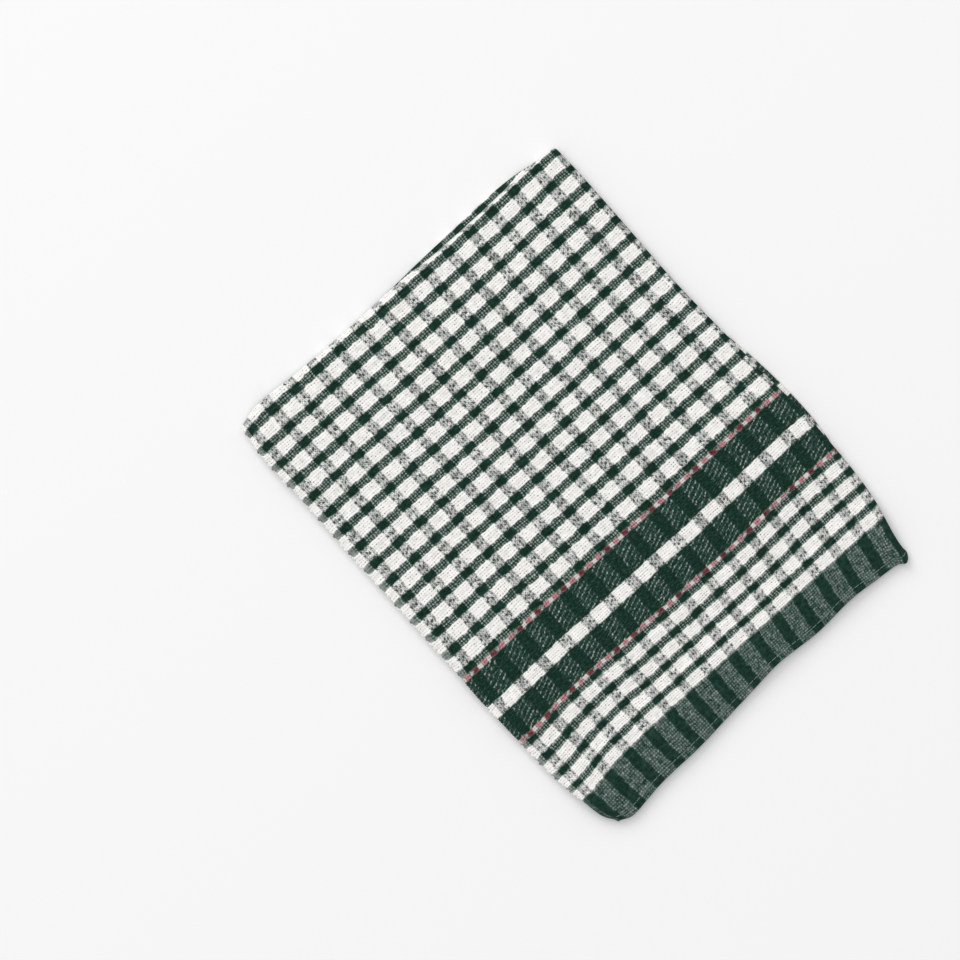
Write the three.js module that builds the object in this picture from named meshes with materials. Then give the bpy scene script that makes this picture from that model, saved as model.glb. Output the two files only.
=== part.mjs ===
// A checked cotton dishcloth, woven in one piece and folded in four.
// It is folded first side to side, so the two selvedges meet at the left (-X),
// and then hem to hem, so all four layers bend at the far end (+Y).
// The open hems lie at the near end (-Y), the upper two reaching past the lower two.
// Units are millimetres, +Z is up, and the cloth lies on Z = 0.
import * as THREE from 'three';

// The sheet and how closely its layers lie.
const sheetThickness = 1.2;
const hemThickness = 1.8;
const hemDepth = 4;
const layerGap = 0.4;
const edgeShare = 0.55;
const edgeRounding = 0.5;

// Two layers make a pair. Its middle surface runs between them, and its faces lie this far from it.
const innerReach = layerGap / 2;
const outerReach = innerReach + sheetThickness;
const foldRadius = layerGap + sheetThickness;
const foldHeight = outerReach + foldRadius;
const upperHeight = foldHeight + foldRadius;

// The nominal ends of the two pairs along Y, before the hems and the fold line wander.
const upperHemY = -125;
const lowerHemY = -105.5;
const foldY = 121.5;

// Side edges of the upper pair: the top selvedge at the left, the side fold at the right.
const upperSides = [
  { y: -125, left: -91.8, right: 92.9 },
  { y: -115, left: -94.0, right: 94.2 },
  { y: -104, left: -96.4, right: 97.0 },
  { y: -93, left: -97.6, right: 99.4 },
  { y: -80, left: -98.6, right: 100.3 },
  { y: -62, left: -98.8, right: 99.4 },
  { y: -42, left: -98.7, right: 99.6 },
  { y: -20, left: -98.5, right: 98.7 },
  { y: 5, left: -98.5, right: 98.3 },
  { y: 40, left: -98.5, right: 97.4 },
  { y: 80, left: -98.2, right: 98.0 },
  { y: 108, left: -98.5, right: 98.2 },
  { y: 121.5, left: -96.6, right: 97.7 },
];

// Side edges of the lower pair, whose side fold comes out under the upper one.
const lowerSides = [
  { y: -105.5, left: -95.6, right: 95.2 },
  { y: -85, left: -96.4, right: 98.4 },
  { y: -68, left: -96.8, right: 100.8 },
  { y: -52, left: -97.0, right: 102.6 },
  { y: -38, left: -97.0, right: 102.9 },
  { y: -18, left: -97.0, right: 101.8 },
  { y: -2, left: -97.0, right: 100.0 },
  { y: 15, left: -97.0, right: 97.6 },
  { y: 60, left: -96.8, right: 96.6 },
  { y: 121.5, left: -96.6, right: 97.7 },
];

// How far the inner layer of each pair stops short of the outer one at the selvedges.
const selvedgeInset = 1.3;

// The upper hem's course across the cloth: its wander along Y and its lift off the layers below.
const hemCourse = [
  { x: -92, wander: -1.0, lift: -0.7 },
  { x: -78, wander: -2.8, lift: -0.3 },
  { x: -60, wander: -2.3, lift: 0.3 },
  { x: -40, wander: -2.5, lift: 0.4 },
  { x: -20, wander: -1.0, lift: -0.2 },
  { x: 0, wander: 0.7, lift: 0.5 },
  { x: 15, wander: 1.9, lift: 1.1 },
  { x: 38, wander: 0.3, lift: 0.1 },
  { x: 60, wander: 1.4, lift: 0.8 },
  { x: 76, wander: 0.0, lift: 0.0 },
  { x: 86, wander: -1.6, lift: -0.5 },
  { x: 91, wander: -3.2, lift: -0.6 },
];
const hemWanderReach = 20;
const hemLiftReach = 24;

// The left end of the hem and its stripes sag towards -Y.
const cornerSag = [
  { x: -99, sag: -4.2 },
  { x: -87, sag: -3.7 },
  { x: -72, sag: -1.4 },
  { x: -56, sag: -0.4 },
  { x: -40, sag: 0 },
  { x: 100, sag: 0 },
];
const cornerSagFade = [
  { y: -125, share: 1 },
  { y: -88, share: 0.95 },
  { y: -69, share: 0.42 },
  { y: -31, share: 0.22 },
  { y: 40, share: 0 },
  { y: 121.5, share: 0 },
];
const cornerPull = 2.3;
const cornerReach = 6;

// The far fold: where it is seen to turn over, and how far its lower half bulges past that.
const foldCourse = [
  { x: -97, turn: 124.0, bulge: 0 },
  { x: -85, turn: 127.0, bulge: 0 },
  { x: -60, turn: 125.8, bulge: 0 },
  { x: -30, turn: 124.4, bulge: 0.2 },
  { x: 0, turn: 124.5, bulge: 0.7 },
  { x: 30, turn: 124.1, bulge: 1.6 },
  { x: 45, turn: 124.1, bulge: 2.8 },
  { x: 64, turn: 124.6, bulge: 2.7 },
  { x: 78, turn: 124.6, bulge: 1.4 },
  { x: 88, turn: 123.6, bulge: 0.3 },
  { x: 98, turn: 122.4, bulge: 0 },
];
const foldWanderReach = 22;

// The upper pair climbs over the lower pair's thick hem and then droops past it.
const ridgeRise = 2 * (hemThickness - sheetThickness);
const ridgeStartY = -90;
const ridgeTopY = -100;
const droopStartY = -107;
const droopEndY = -123;
const droopDepth = 2.4;

// Slight unevenness of the top, in height and in wavelengths along X and Y.
const unevenHeight = 0.16;
const unevenAcross = 27;
const unevenAlong = 34;
const unevenFade = 14;

// A smooth step from 0 at value a to 1 at value b.
function step(a, b, value) {
  const share = THREE.MathUtils.clamp((value - a) / (b - a), 0, 1);
  return share * share * (3 - 2 * share);
}

// A smooth curve through the rows of a table, read at any value of its first column.
function through(rows, from, to) {
  const slopeAt = (i) => {
    const before = rows[Math.max(i - 1, 0)];
    const after = rows[Math.min(i + 1, rows.length - 1)];
    return (after[to] - before[to]) / (after[from] - before[from]);
  };
  return (value) => {
    const inside = THREE.MathUtils.clamp(value, rows[0][from], rows[rows.length - 1][from]);
    const next = rows.findIndex((row) => row[from] >= inside);
    const i = Math.max(next - 1, 0);
    const width = rows[i + 1][from] - rows[i][from];
    const t = (inside - rows[i][from]) / width;
    const startShare = (1 + 2 * t) * (1 - t) * (1 - t);
    const endShare = t * t * (3 - 2 * t);
    const startSlope = t * (1 - t) * (1 - t) * width * slopeAt(i);
    const endSlope = t * t * (t - 1) * width * slopeAt(i + 1);
    return startShare * rows[i][to] + endShare * rows[i + 1][to] + startSlope + endSlope;
  };
}

const upperLeft = through(upperSides, 'y', 'left');
const upperRight = through(upperSides, 'y', 'right');
const lowerLeft = through(lowerSides, 'y', 'left');
const lowerRight = through(lowerSides, 'y', 'right');
const hemWander = through(hemCourse, 'x', 'wander');
const hemLift = through(hemCourse, 'x', 'lift');
const sagAcross = through(cornerSag, 'x', 'sag');
const sagAlong = through(cornerSagFade, 'y', 'share');
const foldTurn = through(foldCourse, 'x', 'turn');
const foldBulge = through(foldCourse, 'x', 'bulge');

// Thickness of the sheet, full at the turned hem and rounded off at every cut or woven edge.
function thicknessAt(fromHem, fromSelvedge) {
  const hemShare = 1 - step(hemDepth - 1, hemDepth + 2, fromHem);
  const full = sheetThickness + (hemThickness - sheetThickness) * hemShare;
  const rounding = Math.min(1, Math.min(fromHem, fromSelvedge) / edgeRounding);
  return full * (edgeShare + (1 - edgeShare) * rounding);
}

// Height of the upper pair's middle surface.
function upperMiddle(x, y) {
  const ridge = ridgeRise * step(ridgeStartY, ridgeTopY, y);
  const droop = droopDepth * step(droopStartY, droopEndY, y);
  const lift = hemLift(x) * step(upperHemY + hemLiftReach, upperHemY, y);
  const wave = 1 + Math.sin(x / unevenAcross + 1) * Math.sin(y / unevenAlong);
  const uneven = unevenHeight * wave * step(foldY, foldY - unevenFade, y);
  return upperHeight + ridge - droop + lift + uneven;
}

// Where a point of the upper pair lies along Y, from its nominal place.
function upperAlong(x, y) {
  const hemPart = hemWander(x) * step(upperHemY + hemWanderReach, upperHemY, y);
  const sagPart = sagAcross(x) * sagAlong(y);
  const foldPart = (foldTurn(x) - foldHeight - foldY) * step(foldY - foldWanderReach, foldY, y);
  return y + hemPart + sagPart + foldPart;
}

// Shares from 0 to 1, both left out, lying closer together towards the two ends.
const endCrowding = 0.5;
function gradedShares(count) {
  const shares = [];
  for (let i = 1; i < count; i += 1) {
    const even = i / count;
    shares.push(even - endCrowding * Math.sin(2 * Math.PI * even) / (2 * Math.PI));
  }
  return shares;
}

// Stations along the cloth: the upper pair from its hem, the far fold, the lower pair to its hem.
const hemStations = [0, edgeRounding, hemDepth - 1, hemDepth + 2];
const upperSteps = 18;
const foldSteps = 8;
const lowerSteps = 14;

function pairStations(pair, hemY, count) {
  const firstStep = hemStations[hemStations.length - 1];
  const stations = hemStations.map((fromHem) => ({ pair, y: hemY + fromHem, fromHem }));
  for (const share of gradedShares(count)) {
    const fromHem = THREE.MathUtils.lerp(firstStep, foldY - hemY, share);
    stations.push({ pair, y: hemY + fromHem, fromHem });
  }
  return stations;
}

function lengthStations() {
  const stations = pairStations('upper', upperHemY, upperSteps);
  for (let i = 0; i <= foldSteps; i += 1) {
    stations.push({ pair: 'fold', turn: Math.PI * (0.5 - i / foldSteps), fromHem: Infinity });
  }
  return stations.concat(pairStations('lower', lowerHemY, lowerSteps).toReversed());
}

// Stations across the cloth: the outer layer from its selvedge, the side fold, the inner layer back.
const acrossSteps = 14;
const edgeStation = 0.0025;
const sideFoldSteps = 6;

function widthStations() {
  const shares = [0, edgeStation, ...gradedShares(acrossSteps)];
  const stations = shares.map((share) => ({ layer: 'outer', share }));
  for (let i = 0; i <= sideFoldSteps; i += 1) {
    stations.push({ layer: 'side', turn: Math.PI * (0.5 - i / sideFoldSteps) });
  }
  return stations.concat(shares.toReversed().map((share) => ({ layer: 'inner', share })));
}

// One point of the cloth on its outer or inner face.
function placePoint(across, along, onOuterFace) {
  const isLower = along.pair === 'lower';
  const y = along.pair === 'fold' ? foldY : along.y;
  const bottomShare = along.pair === 'fold' ? (1 - Math.sin(along.turn)) / 2 : Number(isLower);
  const left = THREE.MathUtils.lerp(upperLeft(y), lowerLeft(y), bottomShare);
  const right = THREE.MathUtils.lerp(upperRight(y), lowerRight(y), bottomShare) - outerReach;
  const start = across.layer === 'inner' ? left + selvedgeInset : left;
  const fromSelvedge = across.layer === 'side' ? Infinity : across.share * (right - start);

  // Place in the pair: x across, and reach, the distance above its middle surface.
  const thickness = thicknessAt(along.fromHem, fromSelvedge);
  const face = onOuterFace ? innerReach + thickness : innerReach;
  let x = start + fromSelvedge;
  let reach = across.layer === 'inner' ? -face : face;
  if (across.layer === 'side') {
    x = right + face * Math.cos(across.turn);
    reach = face * Math.sin(across.turn);
  }

  if (along.pair === 'fold') {
    const radius = foldRadius + reach;
    const middleY = foldTurn(x) - foldHeight + foldBulge(x) * bottomShare;
    const foldedY = middleY + radius * Math.cos(along.turn);
    return new THREE.Vector3(x, foldedY, foldHeight + radius * Math.sin(along.turn));
  }
  if (isLower) {
    const middleZ = innerReach + thicknessAt(along.fromHem, Infinity);
    const foldPart = foldTurn(x) - foldHeight + foldBulge(x) - foldY;
    const placedY = y + foldPart * step(foldY - foldWanderReach, foldY, y);
    return new THREE.Vector3(x, placedY, middleZ - reach);
  }
  const cornerDistance = Math.hypot(along.fromHem, fromSelvedge);
  const pull = cornerPull * Math.exp(-((cornerDistance / cornerReach) ** 2));
  return new THREE.Vector3(x + pull, upperAlong(x, y) + pull, upperMiddle(x, y) + reach);
}

// The whole cloth as one closed body: outer face, inner face, and the strips along its four edges.
function clothGeometry() {
  const along = lengthStations();
  const across = widthStations();
  const columns = across.length;
  const points = [];
  for (const onOuterFace of [true, false]) {
    for (const lengthStation of along) {
      for (const widthStation of across) {
        points.push(placePoint(widthStation, lengthStation, onOuterFace));
      }
    }
  }
  const perFace = along.length * columns;
  const outer = (row, column) => row * columns + column;
  const inner = (row, column) => perFace + outer(row, column);
  const triangles = [];
  const addQuad = (a, b, c, d) => triangles.push(a, b, c, a, c, d);
  const lastRow = along.length - 1;
  const lastColumn = columns - 1;
  for (let row = 0; row < lastRow; row += 1) {
    for (let column = 0; column < lastColumn; column += 1) {
      const nextRow = row + 1;
      const nextColumn = column + 1;
      addQuad(outer(row, column), outer(row, nextColumn), outer(nextRow, nextColumn), outer(nextRow, column));
      addQuad(inner(row, column), inner(nextRow, column), inner(nextRow, nextColumn), inner(row, nextColumn));
    }
    addQuad(outer(row, 0), outer(row + 1, 0), inner(row + 1, 0), inner(row, 0));
    const end = lastColumn;
    addQuad(inner(row, end), inner(row + 1, end), outer(row + 1, end), outer(row, end));
  }
  for (let column = 0; column < lastColumn; column += 1) {
    const next = column + 1;
    addQuad(inner(0, column), inner(0, next), outer(0, next), outer(0, column));
    addQuad(outer(lastRow, column), outer(lastRow, next), inner(lastRow, next), inner(lastRow, column));
  }
  const geometry = new THREE.BufferGeometry().setFromPoints(points);
  geometry.setIndex(triangles);
  geometry.computeVertexNormals();
  return geometry;
}

// White and dark green cotton, seen from a step away as a mid green-grey.
const cottonCheck = new THREE.MeshStandardMaterial({ color: 0x8b9a90, roughness: 0.95, metalness: 0 });

const cloth = new THREE.Mesh(clothGeometry(), cottonCheck);
cloth.name = 'dishcloth';

// The origin is the middle of the folded cloth's outline, on the surface it lies on.
cloth.geometry.computeBoundingBox();
const middle = cloth.geometry.boundingBox.getCenter(new THREE.Vector3());
cloth.position.set(-middle.x, -middle.y, 0);

const group = new THREE.Group();
group.add(cloth);

export default group;
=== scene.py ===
import math

import bpy
import numpy as np
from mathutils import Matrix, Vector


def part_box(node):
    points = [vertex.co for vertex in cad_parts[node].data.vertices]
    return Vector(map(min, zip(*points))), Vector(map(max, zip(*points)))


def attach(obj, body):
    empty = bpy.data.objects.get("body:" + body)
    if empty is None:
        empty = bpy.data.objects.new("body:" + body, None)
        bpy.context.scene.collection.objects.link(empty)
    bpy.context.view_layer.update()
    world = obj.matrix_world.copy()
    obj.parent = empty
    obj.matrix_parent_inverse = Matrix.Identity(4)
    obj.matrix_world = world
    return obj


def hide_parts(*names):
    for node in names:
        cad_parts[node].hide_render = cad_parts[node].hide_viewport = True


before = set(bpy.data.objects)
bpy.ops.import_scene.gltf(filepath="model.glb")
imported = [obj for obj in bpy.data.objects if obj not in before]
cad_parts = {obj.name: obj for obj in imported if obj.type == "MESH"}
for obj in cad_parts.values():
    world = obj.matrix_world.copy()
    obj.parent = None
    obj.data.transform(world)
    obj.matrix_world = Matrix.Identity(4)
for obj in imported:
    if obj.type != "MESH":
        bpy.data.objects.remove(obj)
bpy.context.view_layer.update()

# The cloth is one length of plain-woven cotton, about 40 x 48 cm, with two selvedges and two turned hems.
# It is folded side to side and then hem to hem, so four layers lie on each other. It is made as one
# surface, worked out over the cloth's own width and length, with an outer and an inner face.
MM = 0.001

# Thickness of the sheet and of its hem, and how closely the layers lie, in millimetres.
SHEET = 1.2
HEM = 1.8
HEM_EASES = (3.0, 6.0)
SIDE_ROUNDING = 0.6
HEM_ROUNDING = 0.8
RIM_LEAST = 0.02
LAYER_GAP = 0.4
INNER_REACH = LAYER_GAP / 2
OUTER_REACH = INNER_REACH + SHEET
FOLD_RADIUS = LAYER_GAP + SHEET
FOLD_HEIGHT = OUTER_REACH + FOLD_RADIUS
UPPER_HEM_Y = -125.0
LOWER_HEM_Y = -105.5
FOLD_Y = 121.5
SELVEDGE_INSET = 1.3
STITCH_LINE = 3.3
STITCH_GROOVE = 0.16
STITCH_WIDTH = 0.5

# A quarter turn, the distance of an edge that isn't there, and the share at which a fold starts to turn.
QUARTER = math.pi / 2
NO_EDGE = 99
TURNING = 0.001

# Side edges of the upper and the lower pair of layers: y, left, right.
UPPER_SIDES = np.array([
    (-125, -91.4, 92.6),
    (-115, -93.3, 93.9),
    (-104, -95.0, 96.7),
    (-93, -96.7, 98.9),
    (-80, -97.7, 100.2),
    (-62, -98.4, 101.0),
    (-42, -98.8, 101.2),
    (-30, -98.5, 100.2),
    (-20, -98.3, 99.7),
    (5, -98.3, 98.6),
    (40, -98.3, 97.4),
    (80, -98.0, 98.0),
    (108, -98.3, 98.2),
    (121.5, -96.6, 97.9),
])
LOWER_SIDES = np.array([
    (-105.5, -95.6, 95.2),
    (-85, -96.4, 98.4),
    (-68, -96.8, 100.8),
    (-52, -97.0, 102.6),
    (-38, -97.0, 102.9),
    (-18, -97.0, 101.8),
    (-2, -97.0, 100.0),
    (15, -97.0, 97.6),
    (60, -96.8, 96.6),
    (121.5, -96.6, 97.7),
])

# The upper hem across the cloth: x, its wander along Y, its lift off the layers below.
HEM_COURSE = np.array([
    (-92, -1.0, 0.1),
    (-78, -2.8, 0.1),
    (-60, -2.3, 0.3),
    (-40, -2.5, 0.4),
    (-20, -1.0, 0.1),
    (0, 0.7, 0.5),
    (15, 1.9, 1.1),
    (38, 0.3, 0.1),
    (60, 1.4, 0.8),
    (76, 0.0, 0.1),
    (84, -0.7, 0.1),
    (87, -1.2, 0.1),
    (89, -2.9, 0.1),
    (91, -3.3, 0.1),
    (93, -2.6, 0.1),
])
HEM_WANDER_REACH = 20
HOOK_X = 86.5
HOOK_WIDTH = 6
HOOK_REACH = 3
HOOK_PULL = 1.2
HEM_LIFT_REACH = 24

# The sag of the left end of the hem, across and along the cloth, and the pull of its corner.
CORNER_SAG = np.array([(-99, -4.2), (-87, -3.7), (-72, -1.4), (-56, -0.4), (-40, 0), (100, 0)])
CORNER_SAG_FADE = np.array([(-125, 1), (-88, 0.95), (-69, 0.42), (-31, 0.22), (40, 0), (121.5, 0)])
CORNER_PULL = 2.3
CORNER_REACH = 6

# The far fold across the cloth: x, where it turns over, how far its lower half bulges past that. The
# spans are shares of the turn from the upper pair to the lower.
FOLD_COURSE = np.array([
    (-97, 124.0, 0),
    (-85, 127.0, 0),
    (-60, 125.8, 0),
    (-30, 124.9, 0.1),
    (0, 124.6, 0.9),
    (14, 124.3, 1.8),
    (30, 124.0, 2.5),
    (45, 124.0, 2.8),
    (64, 124.3, 2.7),
    (76, 124.4, 1.8),
    (84, 124.0, 0.8),
    (92, 123.8, 0.1),
    (98, 123.2, 0),
])
FOLD_WANDER_REACH = 22
BULGE_FULL = 2.8
TUCK_SPAN = (0.08, 0.30)
PUSH_SPAN = (0.33, 0.62)

# The upper pair climbs over the lower hem and droops past it.
RIDGE_RISE = 2 * (HEM - SHEET)
RIDGE_START_Y, RIDGE_TOP_Y = -90, -100
DROOP_START_Y, DROOP_END_Y = -107, -123
DROOP_DEPTH = 2.4
LIMP_START_Y = -116
LIMP_DEPTH = 1.3
UNEVEN_HEIGHT = 0.16
UNEVEN_ACROSS = 27
UNEVEN_ALONG = 34
UNEVEN_PHASE = 1
UNEVEN_FADE = 14

# Soft ridges, dents and creases of the top layers: x, y, reach across, reach along, height.
SWELLS = [
    (-40, 88, 60, 14, 1.0),
    (44, 86, 34, 15, 0.8),
    (-27, 59, 15, 13, 0.5),
    (38, 61, 13, 17, 0.45),
    (-86, -2, 10, 14, 0.5),
    (86, 37, 10, 13, 0.5),
    (88.3, 0, 1.2, 21, -0.45),
    (-58, -10, 24, 9, 0.3),
    (22, -6, 22, 11, 0.3),
    (-4, -78, 40, 9, 0.35),
]
SWELL_FADE = 9


def step(a, b, value):
    """A smooth step from 0 at a to 1 at b: 3t^2 - 2t^3 of the clamped share t."""
    t = np.clip((value - a) / (b - a), 0, 1)
    return t * t * (3 - 2 * t)


def through(table, column, value):
    """A smooth curve through a table's column: a cubic in each span, with slopes from its neighbours."""
    at, height = table[:, 0], table[:, column]
    around = np.arange(len(at))
    before, after = np.maximum(around - 1, 0), np.minimum(around + 1, len(at) - 1)
    slope = (height[after] - height[before]) / (at[after] - at[before])
    inside = np.clip(value, at[0], at[-1])
    i = np.clip(np.searchsorted(at, inside) - 1, 0, len(at) - 2)
    width = at[i + 1] - at[i]
    t = (inside - at[i]) / width
    ends = (1 + 2 * t) * (1 - t) ** 2 * height[i] + t * t * (3 - 2 * t) * height[i + 1]
    slopes = t * (1 - t) ** 2 * width * slope[i] + t * t * (t - 1) * width * slope[i + 1]
    return ends + slopes


# The woven threads. The warp runs along Y and the weft along X, counted from the left selvedge and
# from the upper hem. The first green column's middle is 5 ends in, and 10 ends make a repeat.
ENDS = 290
PICKS = 431
END_PITCH = 1.375
BODY_PITCH = 1.317
FIRST_COLUMN = 5
LAST_COLUMN = 145

# The lower pair is folded at another end, and the bulge at the far fold takes up some threads.
LOWER_FOLD_END = 142
BULGE_ENDS = 2.3
BULGE_PICKS = 1.6
TUCKED_PICKS = 3.6
SLACK_START_Y = -20

# Where the first and the fifteenth green column lie on the top layer: y, first, fifteenth.
COLUMN_COURSE = np.array([
    (-126, -88.6, 91.6),
    (-115, -90.0, 93.1),
    (-103, -90.9, 95.6),
    (-85, -91.7, 97.9),
    (-70, -92.9, 99.9),
    (-50, -93.3, 101.6),
    (-36, -92.6, 101.2),
    (-24, -91.6, 100.2),
    (0, -91.3, 98.8),
    (40, -91.4, 97.6),
    (80, -92.2, 97.1),
    (115, -93.5, 97.5),
    (126, -93.5, 97.8),
])

# Which pick lies where on the top layer: the nominal y, and the pick counted from the hem.
PICK_COURSE = np.array([
    (-125.0, 0),
    (-104.8, 16),
    (-99.3, 21),
    (-96.3, 24),
    (-90.7, 29),
    (-87.5, 32),
    (-82.0, 37),
    (-78.5, 40),
    (-72.8, 45),
    (-69.7, 48),
    (-67.5, 50),
    (-53.9, 74),
    (-46.7, 80),
    (-32.0, 104),
    (-29.7, 106),
    (-25.7, 109),
    (121.8, 221),
    (131.0, 228),
])

# How far the columns stand aside of an even spacing: x, shift in the checks, in the bands.
COLUMN_DRIFT = np.array([
    (-98, 0, 0),
    (-91, -0.15, -0.15),
    (-78, 0.15, 0.15),
    (-64, 0.3, 0.2),
    (-50, 0.5, 0.5),
    (-37, 0.15, 0.25),
    (-23, -0.35, 0),
    (5, -0.45, 0.1),
    (32, -0.4, 0.15),
    (60, -0.4, 0.15),
    (74, -0.1, 0),
    (87, 0.3, 0.2),
    (98, 0, 0),
])

# How far the rows run off level, across the cloth: x, shift in the checks, in the bands, in the border
# rows below them, at the fold.
ROW_DRIFT = np.array([
    (-98, 0.5, -0.1, 0.4, -0.1),
    (-87, 0.5, -0.1, 0.4, -2.2),
    (-75, 0.6, -0.1, 0.8, -2.2),
    (-60, 0.7, 0.0, 1.0, -1.7),
    (-47, 0.7, 0.1, 0.8, -1.0),
    (-33, 0.4, -0.4, 0.2, -0.4),
    (-19, 0.3, 0.0, 0.4, -0.45),
    (-5, 0.4, 0.0, 0.0, -0.5),
    (8, 0.5, 0.2, 0.1, -0.3),
    (22, 0.5, -0.2, 0.1, -0.1),
    (36, 0.6, 0.4, 0.1, 0.0),
    (50, 0.85, 0.5, 0.8, -0.2),
    (64, 1.05, 0.9, 1.7, -0.3),
    (77, 1.2, 1.4, 1.8, 0.1),
    (90, 1.3, 1.7, 1.5, 0.7),
    (98, 1.4, 1.5, 1.2, 0.9),
])

# Where along y the drifts hold: the columns' in the bands, and the rows' four in the table's order. Each
# fades in over its first span and out over its second. NO_END lies past the fold.
NO_END = (200, 190)
COLUMN_BANDS = ((-70, -60), (-28, -37))
ROW_STRETCHES = [
    ((-28, 0), NO_END),
    ((-68, -60), (-20, -40)),
    ((-108, -76), (-60, -68)),
    ((98, 116), NO_END),
]


def within(y, fade_in, fade_out):
    """A share that is 1 in a stretch of y and fades smoothly to 0 over a span at each end."""
    return step(*fade_in, y) * step(*fade_out, y)


def end_at(x, y, left):
    """The warp end at a place on the top layer: between the measured columns, tighter at the edge."""
    in_bands = within(y, *COLUMN_BANDS)
    x = x - through(COLUMN_DRIFT, 1, x) * (1 - in_bands) - through(COLUMN_DRIFT, 2, x) * in_bands
    first = through(COLUMN_COURSE, 1, y)
    pitch = (through(COLUMN_COURSE, 2, y) - first) / (LAST_COLUMN - FIRST_COLUMN)
    margin = FIRST_COLUMN * (x - left) / (first - left)
    return np.where(x < first, margin, FIRST_COLUMN + (x - first) / pitch)


def pick_at(y):
    """The pick at a nominal y of the top layer, even between the rows of the table."""
    return np.interp(y, PICK_COURSE[:, 0], PICK_COURSE[:, 1])


def row_drift(x, y):
    """How far the rows of the top layer run off level, each column of the table in its own stretch."""
    stretches = enumerate(ROW_STRETCHES, 1)
    return sum(through(ROW_DRIFT, column, x) * within(y, *spans) for column, spans in stretches)


def rim(distance, depth):
    """How full the sheet is near an edge: a quarter circle that rises over the depth, never quite flat."""
    share = np.clip(distance / depth, 0, 1)
    return np.sqrt(np.maximum(1 - (1 - share) ** 2, RIM_LEAST))


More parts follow.
